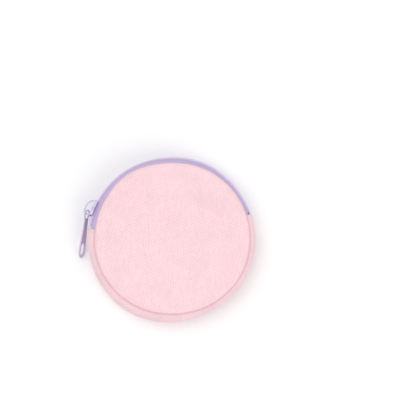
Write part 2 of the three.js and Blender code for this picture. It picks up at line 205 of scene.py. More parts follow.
class Colours(bpy.types.PropertyGroup):
    warp: tint("Warp", "The denim's coloured yarns", 247, 202, 211)
    weft: tint("Weft", "The denim's pale yarns", 255, 246, 248)
    # The seam colour is painted shade: it darkens the denim in the groove of a seam, where shade falls.
    seam: tint("Seam", "What the denim's colour is multiplied by in a seam", 236, 212, 218)
    tape: tint("Tape", "The zip's woven tape", 198, 180, 214)
    nylon: tint("Nylon", "The zip's coil", 218, 202, 232)
    enamel: tint("Enamel", "The slider and the pull", 206, 195, 226)
    floor: tint("Floor", "The surface that the pouch lies on", 250, 250, 250)


# The shape of the pouch


def outline_at(angle, column):
    """A column of the outline table at any angle, on a smooth closed curve through its rows."""
    turn = angle % 360
    first = max(i for i, row in enumerate(OUTLINE) if row["at"] <= turn)
    a, b, c, d = (OUTLINE[(first + step) % len(OUTLINE)][column] for step in (-1, 0, 1, 2))
    following = OUTLINE[(first + 1) % len(OUTLINE)]["at"]
    share = (turn - OUTLINE[first]["at"]) / ((following - OUTLINE[first]["at"]) % 360)
    bend = 2 * a - 5 * b + 4 * c - d + share * (3 * (b - c) + d - a)
    return b + 0.5 * share * (c - a + share * bend)


def rim_radius(angle):
    return bpy.context.scene.pouch.radius * outline_at(angle, "rim")


def seam_radius(angle):
    return rim_radius(angle) - bpy.context.scene.pouch.side_bulge * outline_at(angle, "bulge")


def point_at(angle, radius, height):
    turn = math.radians(angle)
    return Vector((radius * math.cos(turn), radius * math.sin(turn), height))


def degrees_of(distance):
    """The angle that a distance along the rim takes."""
    return math.degrees(distance / bpy.context.scene.pouch.radius)


def side_middle():
    return (BAND_BOX[0][2] + BAND_BOX[1][2]) / 2


class SideArc:
    """The side's cross section from seam to seam: one arc, its middle a drop inside the rim."""

    def __init__(self, angle, drop=0.0):
        band_height = BAND_BOX[1][2] - BAND_BOX[0][2]
        seam_to_seam = FRONT_BOX[0][2] - BACK_BOX[1][2]
        half_chord = (band_height + seam_to_seam) / 4
        middle = rim_radius(angle) - drop
        sagitta = middle - seam_radius(angle)
        self.angle = angle
        self.radius = (half_chord**2 + sagitta**2) / (2 * sagitta)
        self.centre = middle - self.radius
        self.half_width = self.radius * math.asin(half_chord / self.radius)

    def section(self, across, lift=0.0):
        """Radius and height of a place, by its distance across the cloth and its lift."""
        lean = across / self.radius
        reach = self.radius + lift
        return self.centre + reach * math.cos(lean), side_middle() + reach * math.sin(lean)

    def point(self, across, lift=0.0):
        return point_at(self.angle, *self.section(across, lift))


def part_at(angle):
    """How far one half of the zip stands off the centre line."""
    sizes = bpy.context.scene.zip
    along = math.radians(angle) - sizes.slider_angle
    along *= bpy.context.scene.pouch.radius
    nose = sizes.slider_length / 2
    end = (math.pi / 2 + sizes.half_angle - sizes.slider_angle) * bpy.context.scene.pouch.radius
    full = sizes.part_at_post * smooth_share(along, -sizes.part_start, sizes.part_full)
    return full + (sizes.part_at_end - full) * smooth_share(along, nose, end)


def smooth_share(value, low, high):
    """0 up to low, 1 from high, and an even S between."""
    share = min(1, max(0, (value - low) / (high - low)))
    return share * share * (3 - 2 * share)


def turned(place, direction, radius, distance, most):
    """Where a section's line is after it goes on along a circle and then straight.

    place is (radius, height), direction an angle in radians, radius plus to turn left and minus
    to turn right, and most the angle after which the line goes straight on.
    """
    turn = min(distance / abs(radius), most)
    heading = direction + math.copysign(turn, radius)
    x = place[0] + radius * (math.sin(heading) - math.sin(direction))
    y = place[1] - radius * (math.cos(heading) - math.cos(direction))
    rest = max(0, distance - most * abs(radius))
    return x + rest * math.cos(heading), y + rest * math.sin(heading)


def gather(angle, radius, distance):
    """The small gathers and the stitches' dimples along a seam, fading with the distance."""
    sizes = bpy.context.scene.pouch
    place = point_at(angle, radius, 0)
    coarse = noise.noise(place / (3.6 * MM) + Vector((4.2, 0, 7.7)))
    fine = noise.noise(place / (1.7 * MM) + Vector((0.3, 9.1, 2.4)))
    along = math.radians(angle) * sizes.radius
    dimple = 0.5 + 0.5 * math.cos(2 * math.pi * along / sizes.stitch_pitch)
    fade = math.exp(-max(0, distance) / sizes.pucker_reach)
    close = math.exp(-max(0, distance) / sizes.stitch_reach)
    return sizes.pucker * (coarse + 0.4 * fine) * fade - sizes.stitch_dimple * dimple * close


def waves(x, y, seed):
    """The soft waves of empty cloth, about -1 to 1."""
    place = Vector((x, y, seed))
    broad = noise.noise(place / (24 * MM) + Vector((1.7, 3.3, 0)))
    close = noise.noise(place / (9 * MM) + Vector((8.1, 0.4, 0)))
    return broad + 0.35 * close


# Making pieces


def new_piece(name, mesh, body, nodes, materials):
    """An object of a bmesh that rides on a body and stands for its solids."""
    data = bpy.data.meshes.new(name)
    mesh.to_mesh(data)
    mesh.free()
    piece = bpy.data.objects.new(name, data)
    bpy.context.collection.objects.link(piece)
    for material in materials:
        data.materials.append(material)
    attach(piece, body)
    if nodes:
        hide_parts(*nodes)
    return piece


def body_of(node):
    return next(name for name, nodes in frame["record"]["behaviour"]["bodies"].items() if node in nodes)


def shade_smooth(mesh):
    for face in mesh.faces:
        face.smooth = True


def thicken(piece, thickness, group=None, thin=0.3):
    """Gives a sheet its wall, inwards, thinner where the vertex group is weak."""
    wall = piece.modifiers.new("Wall", "SOLIDIFY")
    wall.thickness = thickness
    wall.offset = -1
    wall.use_rim = True
    if group:
        wall.vertex_group = group
        wall.thickness_vertex_group = thin
    return wall


def set_seam_shade(piece, distances):
    """Painted shade in the groove of a seam: 1 in the groove and 0 on the open cloth, for the material.
    """
    shade = piece.data.attributes.new("painted_seam_shade", "FLOAT", "POINT")
    for item, distance in zip(shade.data, distances):
        item.value = 1 - smooth_share(abs(distance), 0.2 * MM, 1.3 * MM)


def set_group(piece, name, weights):
    group = piece.vertex_groups.new(name=name)
    for index, weight in enumerate(weights):
        group.add([index], weight, "REPLACE")


def flat_grid(width, depth, step_x, step_y):
    """A flat cut of cloth with its corner at the origin, and its weave as the UV map."""
    mesh = bmesh.new()
    bmesh.ops.create_grid(
        mesh,
        x_segments=max(2, round(width / step_x)),
        y_segments=max(2, round(depth / step_y)),
        size=0.5,
        calc_uvs=False,
    )
    bmesh.ops.translate(mesh, verts=mesh.verts, vec=(0.5, 0.5, 0))
    bmesh.ops.scale(mesh, verts=mesh.verts, vec=(width, depth, 1))
    lay_weave(mesh, lambda vert: (vert.co.x, vert.co.y))
    return mesh


def lay_weave(mesh, flat_place):
    """Writes each corner's place on the flat cut, in metres, into the UV map."""
    layer = mesh.loops.layers.uv.new("weave")
    for face in mesh.faces:
        for corner in face.loops:
            corner[layer].uv = flat_place(corner.vert)


# Panels


def panel_profile(flat, shoulder, rise, dome, turn_rise):
    """A panel's section from its middle to its turned-in edge, as (radius, height, reach).

    Heights are counted from the seam, and reach is the cloth's length from the middle.
    """
    sizes = bpy.context.scene.pouch
    rows = [(flat * share, rise + dome * (1 - share**2)) for share in spaced(0, 1, 40)]
    last = math.radians(62)
    for turn in spaced(0, last, 14)[1:]:
        rows.append((flat + shoulder * math.sin(turn), rise * math.cos(turn)))
    heading = math.atan2(-rise * math.sin(last), shoulder * math.cos(last))
    radius = (rise * math.cos(last) + turn_rise) / (1 + math.cos(heading))
    most = math.pi + heading
    edge = radius * most + sizes.turned_in
    border = rows[-1]
    for distance in spaced(0, edge, 12)[1:]:
        rows.append(turned(border, heading, -radius, distance, most))
    reach = 0.0
    profile = []
    for index, (out, height) in enumerate(rows):
        if index:
            reach += math.hypot(out - rows[index - 1][0], height - rows[index - 1][1])
        profile.append((out, height, reach))
    return profile


def spaced(start, end, count):
    """Count values from start to end."""
    return [start + (end - start) * i / (count - 1) for i in range(count)]


def round_panel(profile, seam_height, up, shoulder, wave_seed):
    """A panel as a bmesh: its profile spun round, then fitted to the outline and crumpled."""
    sizes = bpy.context.scene.pouch
    columns = bpy.context.scene.pouch_mesh.columns
    mesh = bmesh.new()
    reach_layer = mesh.verts.layers.float.new("reach")
    line = []
    for out, height, reach in profile:
        vert = mesh.verts.new((out, 0, height))
        vert[reach_layer] = reach
        line.append(vert)
    edges = [mesh.edges.new(pair) for pair in zip(line, line[1:])]
    bmesh.ops.spin(
        mesh,
        geom=line + edges,
        cent=(0, 0, 0),
        axis=(0, 0, 1),
        dvec=(0, 0, 0),
        angle=2 * math.pi,
        steps=columns,
        use_merge=True,
        use_duplicate=False,
    )
    bmesh.ops.remove_doubles(mesh, verts=mesh.verts, dist=1e-6)
    edge_reach = profile[-1][2]
    nominal = max(row[0] for row in profile) + 0.05 * MM
    flat = sizes.radius - sizes.side_bulge - shoulder

    def flat_place(vert):
        turn = math.atan2(vert.co.y, vert.co.x)
        return vert[reach_layer] * math.cos(turn), vert[reach_layer] * math.sin(turn)

    lay_weave(mesh, flat_place)
    for vert in mesh.verts:
        out = math.hypot(vert.co.x, vert.co.y)
        if out < 1e-7:
            shift = sizes.wave * waves(0, 0, wave_seed) if up > 0 else 0
            vert.co.z = seam_height + up * (vert.co.z + shift)
            continue
        angle = math.degrees(math.atan2(vert.co.y, vert.co.x))
        seam = seam_radius(angle)
        fitted = out * (seam - shoulder) / flat if out < flat else out + seam - nominal
        inside = edge_reach - vert[reach_layer]
        calm = smooth_share(inside, 1.2 * MM, 9 * MM)
        bump = gather(angle, seam, inside)
        height = vert.co.z + bump * 0.8 * smooth_share(inside, 1.0 * MM, 2.5 * MM)
        if up > 0:
            height += sizes.wave * waves(vert.co.x, vert.co.y, wave_seed) * calm
        else:
            height = min(height, seam_height)
        place = point_at(angle, fitted + bump * 0.5, seam_height + up * height)
        vert.co = place
    mesh.normal_update()
    outward = sum(face.normal.z * face.calc_area() for face in mesh.faces)
    if outward * up < 0:
        bmesh.ops.reverse_faces(mesh, faces=mesh.faces)
    shade_smooth(mesh)
    return mesh


def edge_weights(piece, layer_name, edge_reach, turn):
    """1 on the open cloth, falling to 0 where the edge turns into the seam."""
    attribute = piece.data.attributes[layer_name].data
    return [smooth_share(edge_reach - item.value, 0.6 * turn, 2.2 * turn) for item in attribute]


def to_seam(piece, profile):
    """How far along the cloth each vertex is from the panel's outermost line."""
    outermost = max(profile, key=lambda row: row[0])[2]
    return [outermost - item.value for item in piece.data.attributes["reach"].data]


class POUCH_OT_front_panel(bpy.types.Operator):
    """Add the front panel: a shallow dome of denim with soft waves and a gathered edge"""

    bl_idname = "pouch.front_panel"
    bl_label = "Front Panel"

    def execute(self, context):
        sizes = context.scene.pouch
        seam_height = FRONT_BOX[0][2]
        rise = sizes.front_shoulder_rise
        dome = FRONT_BOX[1][2] - seam_height - rise
        flat = sizes.radius - sizes.side_bulge - sizes.front_shoulder
        profile = panel_profile(flat, sizes.front_shoulder, rise, dome, 0.18 * MM)
        mesh = round_panel(profile, seam_height, 1, sizes.front_shoulder, 0.0)
        piece = new_piece(
            "denim_front", mesh, body_of("front_panel"), ["front_panel"], [denim()]
        )
        turn = sizes.turn_radius * 2.1 + sizes.turned_in
        set_group(piece, "open_cloth", edge_weights(piece, "reach", profile[-1][2], turn))
        set_seam_shade(piece, to_seam(piece, profile))
        thicken(piece, sizes.cloth, "open_cloth")
        return {"FINISHED"}


class POUCH_OT_back_panel(bpy.types.Operator):
    """Add the back panel that the pouch rests on: flat in the middle, with a rounded border"""

    bl_idname = "pouch.back_panel"
    bl_label = "Back Panel"

    def execute(self, context):
        sizes = context.scene.pouch
        seam_height = BACK_BOX[1][2]
        flat = sizes.radius - sizes.side_bulge - sizes.back_shoulder
        profile = panel_profile(flat, sizes.back_shoulder, seam_height, 0.0, 0.18 * MM)
        mesh = round_panel(profile, seam_height, -1, sizes.back_shoulder, 5.0)
        piece = new_piece(
            "denim_back", mesh, body_of("back_panel"), ["back_panel"], [denim()]
        )
        turn = sizes.turn_radius * 2.1 + sizes.turned_in
        set_group(piece, "open_cloth", edge_weights(piece, "reach", profile[-1][2], turn))
        set_seam_shade(piece, to_seam(piece, profile))
        thicken(piece, sizes.cloth, "open_cloth")
        return {"FINISHED"}


# The side


def zip_start():
    return 90 - math.degrees(bpy.context.scene.zip.half_angle)


def zip_end():
    return 90 + math.degrees(bpy.context.scene.zip.half_angle)


def side_place(angle, across, drop=0.0, lift=0.0, turn_radius=None):
    """A place on cloth that covers the side: on its arc, or where the edge turns into the seam."""
    arc = SideArc(angle, drop)
    turn_radius = turn_radius or bpy.context.scene.pouch.turn_radius
    turn_start = arc.half_width - 0.1 * MM
    beyond = abs(across) - turn_start
    if beyond <= 0:
        return point_at(angle, *arc.section(across, lift))
    lean = turn_start / arc.radius
    out, height = arc.section(turn_start, lift)
    most = math.pi / 2 - lean
    place = (out, height - side_middle())
    out, height = turned(place, lean + math.pi / 2, turn_radius, beyond, most)
    return point_at(angle, out, side_middle() + math.copysign(height, across))


class POUCH_OT_side_band(bpy.types.Operator):
    """Add the denim band round the lower half of the side, with folded ends"""

    bl_idname = "pouch.side_band"
    bl_label = "Side Band"

    def execute(self, context):
        sizes = context.scene.pouch
        step = context.scene.pouch_mesh.step
        start = zip_end() + degrees_of(0.12 * MM)
        end = zip_start() + 360 - degrees_of(0.12 * MM)
        fold = sizes.end_fold * math.radians(120)
        run = math.radians(end - start) * sizes.radius
        half = SideArc(270).half_width + sizes.turned_in + sizes.turn_radius
        mesh = flat_grid(run + 2 * fold, 2 * half, step, step * 0.75)
        weights = []
        from_seam = []
        for vert in mesh.verts:
            along, across = vert.co.x - fold, vert.co.y - half
            near = min(along, run - along)
            if near < sizes.end_fold:
                turn = (sizes.end_fold - near) / sizes.end_fold
                drop = sizes.end_fold * (1 - math.cos(turn))
                near_place = sizes.end_fold * (1 - math.sin(min(turn, math.radians(150))))
                place_along = near_place if along < run / 2 else run - near_place
            else:
                drop, place_along = 0.0, along
            back = sizes.end_slant * smooth_share(across, 0, half)
            place_along += back * (1 - smooth_share(along, 0, 8 * MM))
            angle = start + degrees_of(place_along)
            arc = SideArc(angle)
            scaled = across * arc.half_width / SideArc(270).half_width
            inside = max(0, arc.half_width - abs(scaled))
            lift = gather(angle, seam_radius(angle), inside)
            lift += sizes.band_wave * waves(scaled, along, 11.0)
            lift *= smooth_share(inside, 0, 2 * MM)
            place = side_place(angle, scaled, lift=lift)
            lean = max(-1.2, min(1.2, scaled / arc.radius))
            outwards = point_at(angle, math.cos(lean), math.sin(lean))
            vert.co = place - outwards * drop
            open_ends = smooth_share(near, -0.2 * MM, 1.4 * MM)
            open_edges = smooth_share(arc.half_width - abs(scaled), 0.1 * MM, 1.6 * MM)
            weights.append(min(open_ends, open_edges))
            from_seam.append(arc.half_width - abs(scaled))
        orient_outwards(mesh)
        shade_smooth(mesh)
        piece = new_piece(
            "denim_band", mesh, body_of("side_band"), ["side_band"], [denim(band=True)]
        )
        set_group(piece, "open_cloth", weights)
        set_seam_shade(piece, from_seam)
        thicken(piece, sizes.cloth, "open_cloth")
        return {"FINISHED"}


def orient_outwards(mesh):
    """Turns the faces of an open sheet on the side so that they look away from the middle."""
    mesh.normal_update()
    outward = sum(
        face.normal.dot(Vector((face.calc_center_median().x, face.calc_center_median().y, 0)))
        for face in mesh.faces
    )
    if outward < 0:
        bmesh.ops.reverse_faces(mesh, faces=mesh.faces)


class POUCH_OT_zip_tapes(bpy.types.Operator):
    """Add both halves of the zip's woven tape"""

    bl_idname = "pouch.zip_tapes"
    bl_label = "Zip Tapes"

    def execute(self, context):
        sizes = context.scene.zip
        step = context.scene.pouch_mesh.step
        under = degrees_of(sizes.tape_under_band)
        start, end = zip_start() - under, zip_end() + under
        run = math.radians(end - start) * context.scene.pouch.radius
        open_width = SideArc(90, sizes.drop).half_width - sizes.tape_edge
        width = open_width + sizes.tape_in_seam
        for name, node, panel, up in (
            ("tape_front", "zip_tape_front", "front_panel", 1),
            ("tape_back", "zip_tape_back", "back_panel", -1),
        ):
            mesh = flat_grid(run, width, step, step * 0.6)
            for vert in mesh.verts:
                angle = start + degrees_of(vert.co.x)
                arc = SideArc(angle, sizes.drop)
                edge = sizes.tape_edge + part_at(angle)
                share = vert.co.y / open_width
                across = edge + (arc.half_width - edge) * min(1, share)
                across += max(0, vert.co.y - open_width)
                inside = arc.half_width - across
                lift = gather(angle, seam_radius(angle), inside)
                lift *= smooth_share(inside, 0, 2 * MM)
                lift *= smooth_share(across, sizes.coil_outer, sizes.coil_outer + 2 * MM)
                hidden = max(zip_start() - angle, angle - zip_end())
                lift -= 0.45 * MM * smooth_share(hidden, -degrees_of(0.3 * MM), degrees_of(1.2 * MM))
                vert.co = side_place(angle, up * across, sizes.drop, lift)
            orient_outwards(mesh)
            shade_smooth(mesh)
            piece = new_piece(name, mesh, body_of(node), [node], [tape_cloth()])
            thicken(piece, sizes.tape)
        return {"FINISHED"}


# The coil


def tube(points, diameter, sides, name, closed=False):
    """A mesh of a round line through the points."""
    curve = bpy.data.curves.new(name, "CURVE")
    curve.dimensions = "3D"
    curve.bevel_depth = diameter / 2
    curve.bevel_resolution = max(0, sides // 2 - 2)
    curve.use_fill_caps = True
    spline = curve.splines.new("POLY")
    spline.points.add(len(points) - 1)
    spline.use_cyclic_u = closed
    for point, place in zip(spline.points, points):
        point.co = (*place, 1)
    holder = bpy.data.objects.new(name, curve)
    data = holder.to_mesh()
    mesh = bmesh.new()
    mesh.from_mesh(data)
    holder.to_mesh_clear()
    bpy.data.objects.remove(holder)
    bpy.data.curves.remove(curve)
    bmesh.ops.remove_doubles(mesh, verts=mesh.verts, dist=1e-7)
    bmesh.ops.recalc_face_normals(mesh, faces=mesh.faces)
    shade_smooth(mesh)
    return mesh


def joined(meshes):
    """One bmesh of several."""
    whole = bmesh.new()
    for mesh in meshes:
        data = bpy.data.meshes.new("part")
        mesh.to_mesh(data)
        mesh.free()
        whole.from_mesh(data)
        bpy.data.meshes.remove(data)
    return whole


def coil_span():
    """The first angle of the coil and the number of its turns."""
    sizes = bpy.context.scene.zip
    run = 2 * sizes.half_angle * bpy.context.scene.pouch.radius - 2 * sizes.coil_start
    return zip_start() + degrees_of(sizes.coil_start), int(run / sizes.coil_pitch) - 1


def on_coil(angle, across, lift, up):
    arc = SideArc(angle, bpy.context.scene.zip.drop)
    return arc.point(up * (across + part_at(angle)) * arc.radius / (arc.radius + lift), lift)


def coil_route(up, offset):
    """The nylon wire of one half: flat turns that reach just past the centre line."""
    sizes = bpy.context.scene.zip
    steps = bpy.context.scene.pouch_mesh.coil_steps
    start, turns = coil_span()
    inner = sizes.coil_wire / 2 - sizes.coil_overlap
    outer = sizes.coil_outer - sizes.coil_wire / 2
    middle, half = (outer + inner) / 2, (outer - inner) / 2
    low = 0.1 * MM + sizes.coil_wire / 2
    half_lift = (sizes.coil_height - sizes.coil_wire) / 2
    route = []
    for index in range(turns * steps + 1):
        phase = 2 * math.pi * index / steps
        along = (index / steps) * sizes.coil_pitch + offset
        swing = math.copysign(abs(math.cos(phase)) ** 0.75, math.cos(phase))
        rise = math.copysign(abs(math.sin(phase)) ** 0.75, math.sin(phase))
        route.append(
            on_coil(
                start + degrees_of(along),
                middle + half * swing,
                low + half_lift * (1 + rise),
                up,
            )
        )
    return route


def along_coil(across, lift, offset, up, steps, dip=0.0):
    """A line along one half of the coil, dipping between its turns."""
    sizes = bpy.context.scene.zip
    start, turns = coil_span()
    route = []
    for index in range(turns * steps + 1):
        along = (index / steps) * sizes.coil_pitch + offset
        drop = dip * (0.5 - 0.5 * math.cos(2 * math.pi * index / steps))
        route.append(on_coil(start + degrees_of(along), across, lift - drop, up))
    return route


class POUCH_OT_zip_coils(bpy.types.Operator):
    """Add both halves of the nylon coil, with the cord inside it and the thread that sews it"""

    bl_idname = "pouch.zip_coils"
    bl_label = "Zip Coils"

    def execute(self, context):
        sizes = context.scene.zip
        top = 0.1 * MM + sizes.coil_height
        for side, node, up, offset in (
            ("front", "zip_coil_front", 1, sizes.coil_pitch / 2),
            ("back", "zip_coil_back", -1, 0.0),
        ):
            wire = tube(coil_route(up, offset), sizes.coil_wire, 8, "wire")
            new_piece(f"coil_{side}", wire, body_of(node), [node], [nylon()])
            rows = [
                tube(
                    along_coil(across, top + 0.06 * MM, offset + 0.375 * MM, up, 6, 0.3 * MM),
                    sizes.thread,
                    6,
                    "thread",
                )
                for across in (1.15 * MM, 2.3 * MM)
            ]
            middle = 0.1 * MM + sizes.coil_height / 2
            rows.append(
                tube(along_coil(2.2 * MM, middle, offset, up, 1), sizes.cord, 10, "cord")
            )
            bed_at = sizes.coil_outer - sizes.bed / 3
            rows.append(
                tube(along_coil(bed_at, sizes.bed / 2, offset, up, 1), sizes.bed, 8, "bed")
            )
            new_piece(
                f"coil_thread_{side}", joined(rows), body_of(node), [], [thread()]
            )
        return {"FINISHED"}


# Slider and pull


def whole_faces(node):
    """A copy of a solid as a bmesh, each flat face of it in as few faces as can be."""
    mesh = bmesh.new()
    mesh.from_mesh(frame["nodes"][node].data)
    bmesh.ops.remove_doubles(mesh, verts=mesh.verts, dist=1e-6)
    bmesh.ops.dissolve_limit(
        mesh,
        angle_limit=math.radians(1),
        use_dissolve_boundaries=False,
        verts=mesh.verts,
        edges=mesh.edges,
    )
    mesh.normal_update()
    return mesh


def cast_skin(piece):
    """Melts a piece's parts into one skin with soft edges, as die-casting and enamel do."""
    sizes = bpy.context.scene.pouch_metal
    skin = piece.modifiers.new("Skin", "REMESH")
    skin.mode = "VOXEL"
    skin.voxel_size = sizes.grain
    skin.use_smooth_shade = True
    soft = piece.modifiers.new("Soft edges", "SMOOTH")
    soft.factor = 0.5
    soft.iterations = sizes.softening


class POUCH_OT_zip_slider(bpy.types.Operator):
    """Add the slider: its solid with rounded edges, as die-cast metal has"""

    bl_idname = "pouch.zip_slider"
    bl_label = "Zip Slider"

    def execute(self, context):
        mesh = whole_faces("zip_slider")
        piece = new_piece(
            "slider", mesh, body_of("zip_slider"), ["zip_slider"], [enamel()]
        )
        cast_skin(piece)
        return {"FINISHED"}


def blade_space(mesh):
    """The pull's own space: its origin in the middle of the blade, its Z across the blade."""
    normal = max(mesh.faces, key=lambda face: face.calc_area()).normal
    turn = normal.to_track_quat("Z", "Y").to_matrix().to_4x4()
    corners = [turn.inverted() @ vert.co for vert in mesh.verts]
    middle = [(min(axis) + max(axis)) / 2 for axis in zip(*corners)]
    return turn @ Matrix.Translation(middle)


def border_lines(mesh, up):
    """The closed lines round the faces that look along up, the outline first, then the holes."""
    faces = {face for face in mesh.faces if face.normal.dot(up) > 0.99}
    following = {
        corner.vert: corner.link_loop_next.vert
        for face in faces
        for corner in face.loops
        if corner.link_loop_radial_next.face not in faces
    }
    lines = []
    while following:
        vert, after = following.popitem()
        line = [vert]
        while after in following:
            line.append(after)
            after = following.pop(after)
        lines.append(line)
    return sorted(lines, key=lambda line: -max((a.co - line[0].co).length for a in line))


def moved_inwards(line, up, distance):
    """The places of a border line's verts once it is moved into its face."""
    places = []
    for index, vert in enumerate(line):
        before = (vert.co - line[index - 1].co).normalized()
        after = (line[(index + 1) % len(line)].co - vert.co).normalized()
        places.append(vert.co + up.cross(before + after).normalized() * distance)
    return places


class POUCH_OT_zip_pull(bpy.types.Operator):
    """Add the pull: a slotted blade with a round rim that stands proud of both its faces"""

    bl_idname = "pouch.zip_pull"
    bl_label = "Zip Pull"

    def execute(self, context):
        sizes = context.scene.pouch_metal
        blade = whole_faces("zip_pull")
        space = blade_space(blade)
        bmesh.ops.transform(blade, matrix=space.inverted(), verts=blade.verts)
        blade.normal_update()
        thickness = 2 * max(vert.co.z for vert in blade.verts)
        up = Vector((0, 0, 1))
        outline = moved_inwards(border_lines(blade, up)[0], up, sizes.pull_rim / 2)
        for place in outline:
            place.z = 0
        rim = tube(outline, sizes.pull_rim, 12, "rim", closed=True)
        bmesh.ops.scale(rim, vec=(1, 1, thickness / sizes.pull_rim), verts=rim.verts)
        for side in (up, -up):
            line = border_lines(blade, side)[0]
            for vert, place in zip(line, moved_inwards(line, side, sizes.pull_rim * 0.35)):
                vert.co = place
        face_share = 1 - 2 * sizes.pull_hollow / thickness
        bmesh.ops.scale(blade, vec=(1, 1, face_share), verts=blade.verts)
        whole = joined([blade, rim])
        bmesh.ops.transform(whole, matrix=space, verts=whole.verts)
        piece = new_piece(
            "pull", whole, body_of("zip_pull"), ["zip_pull"], [enamel()]
        )
        cast_skin(piece)
        return {"FINISHED"}


# Materials


class Tree:
    """Short calls to add nodes to a node tree and to link what goes into them."""

    def __init__(self, tree):
        self.tree = tree

    def add(self, kind, inputs=None, **settings):
        node = self.tree.nodes.new(kind)
        for name, value in settings.items():
            setattr(node, name, value)
        for socket, value in (inputs or {}).items():
            if isinstance(value, bpy.types.NodeSocket):
                self.tree.links.new(value, node.inputs[socket])
            else:
                node.inputs[socket].default_value = value
        return node

    def maths(self, operation, *values):
        return self.add("ShaderNodeMath", dict(enumerate(values)), operation=operation).outputs[0]

    def mix_colours(self, factor, first, second, blend="MIX"):
        node = self.add("ShaderNodeMix", data_type="RGBA", blend_type=blend)
        for socket, value in ((0, factor), (6, first), (7, second)):
            if isinstance(value, bpy.types.NodeSocket):
                self.tree.links.new(value, node.inputs[socket])
            else:
                node.inputs[socket].default_value = value
        return node.outputs[2]

    def mix_values(self, factor, first, second):
        spread = self.maths("SUBTRACT", second, first)
        return self.maths("MULTIPLY_ADD", factor, spread, first)


def new_group(name, inputs, outputs):
    """A shader node group with its sockets, or None where it is there already."""
    if name in bpy.data.node_groups:
        return None
    tree = bpy.data.node_groups.new(name, "ShaderNodeTree")
    for label, kind, value in inputs:
        socket = tree.interface.new_socket(label, in_out="INPUT", socket_type=kind)
        if value is not None:
            socket.default_value = value
    for label, kind in outputs:
        tree.interface.new_socket(label, in_out="OUTPUT", socket_type=kind)
    return tree


def twill_weave():
    """Three-over-one twill: which yarn lies on top, how high it stands and its colour, with painted
    shade that is lighter on each yarn's crest and darker where it dips.
    """
    name = "Twill weave"
    tree = new_group(
        name,
        [
            ("Place", "NodeSocketVector", None),
            ("Warp Pitch", "NodeSocketFloat", 0.4 * MM),
            ("Weft Pitch", "NodeSocketFloat", 0.46 * MM),
            ("Warp", "NodeSocketColor", (1, 1, 1, 1)),
            ("Weft", "NodeSocketColor", (1, 1, 1, 1)),
            ("Slub", "NodeSocketFloat", 0.2),
        ],
        [("Color", "NodeSocketColor"), ("Height", "NodeSocketFloat")],
    )
    if tree is None:
        return bpy.data.node_groups[name]
    nodes = Tree(tree)
    given = nodes.add("NodeGroupInput").outputs
    wander = nodes.add(
        "ShaderNodeTexNoise", {"Vector": given["Place"], "Scale": 260.0, "Detail": 2.0}
    ).outputs["Fac"]
    wander = nodes.maths("MULTIPLY_ADD", wander, 1.1, -0.55)
    split = nodes.add("ShaderNodeSeparateXYZ", {"Vector": given["Place"]}).outputs
    across = nodes.maths("ADD", nodes.maths("DIVIDE", split["X"], given["Warp Pitch"]), wander)
    along = nodes.maths("ADD", nodes.maths("DIVIDE", split["Y"], given["Weft Pitch"]), wander)
    warp_count = nodes.maths("FLOOR", across)
    weft_count = nodes.maths("FLOOR", along)
    step = nodes.maths("FLOORED_MODULO", nodes.maths("ADD", warp_count, weft_count), 4.0)
    over = nodes.maths("LESS_THAN", step, 2.5)
    warp_round = nodes.maths("SINE", nodes.maths("MULTIPLY", nodes.maths("FRACT", across), math.pi))
    weft_round = nodes.maths("SINE", nodes.maths("MULTIPLY", nodes.maths("FRACT", along), math.pi))
    warp_height = nodes.maths("MULTIPLY_ADD", warp_round, 0.5, 0.5)
    weft_height = nodes.maths("MULTIPLY", weft_round, 0.45)
    height = nodes.mix_values(over, weft_height, warp_height)
    yarn = nodes.add(
        "ShaderNodeCombineXYZ",
        {0: nodes.maths("MULTIPLY", warp_count, 0.731), 1: nodes.maths("MULTIPLY", along, 0.035)},
    ).outputs[0]
    slub = nodes.add(
        "ShaderNodeTexNoise", {"Vector": yarn, "Scale": 3.0, "Detail": 2.0}
    ).outputs["Fac"]
    slub = nodes.maths("MULTIPLY", nodes.maths("SUBTRACT", slub, 0.5), given["Slub"])
    fibre = nodes.add(
        "ShaderNodeTexNoise", {"Vector": given["Place"], "Scale": 5200.0, "Detail": 2.0}
    ).outputs["Fac"]
    fibre = nodes.maths("MULTIPLY_ADD", fibre, 0.1, -0.05)
    # Painted shade: each yarn is lighter on its crest and darker at its sides and ends; the uneven
    # crossings, slubs and fibres added below are real tone.
    warp_painted_shade = nodes.maths("MULTIPLY_ADD", height, 0.24, 0.8)
    float_round = nodes.maths("MULTIPLY", warp_round, weft_round)
    weft_painted_shade = nodes.maths("MULTIPLY_ADD", float_round, 0.45, 0.72)
    shade = nodes.mix_values(over, weft_painted_shade, warp_painted_shade)
    crossing = nodes.add("ShaderNodeCombineXYZ", {0: warp_count, 1: weft_count}).outputs[0]
    uneven = nodes.add("ShaderNodeTexWhiteNoise", {"Vector": crossing}).outputs["Value"]
    shade = nodes.maths("MULTIPLY_ADD", nodes.maths("SUBTRACT", uneven, 0.5), 0.09, shade)
    shade = nodes.maths("ADD", shade, nodes.maths("ADD", slub, fibre))
    shade = nodes.add("ShaderNodeCombineColor", {0: shade, 1: shade, 2: shade}).outputs[0]
    colour = nodes.mix_colours(over, given["Weft"], given["Warp"])
    colour = nodes.mix_colours(1.0, colour, shade, "MULTIPLY")
    nodes.add("NodeGroupOutput", {"Color": colour, "Height": height})
    return tree


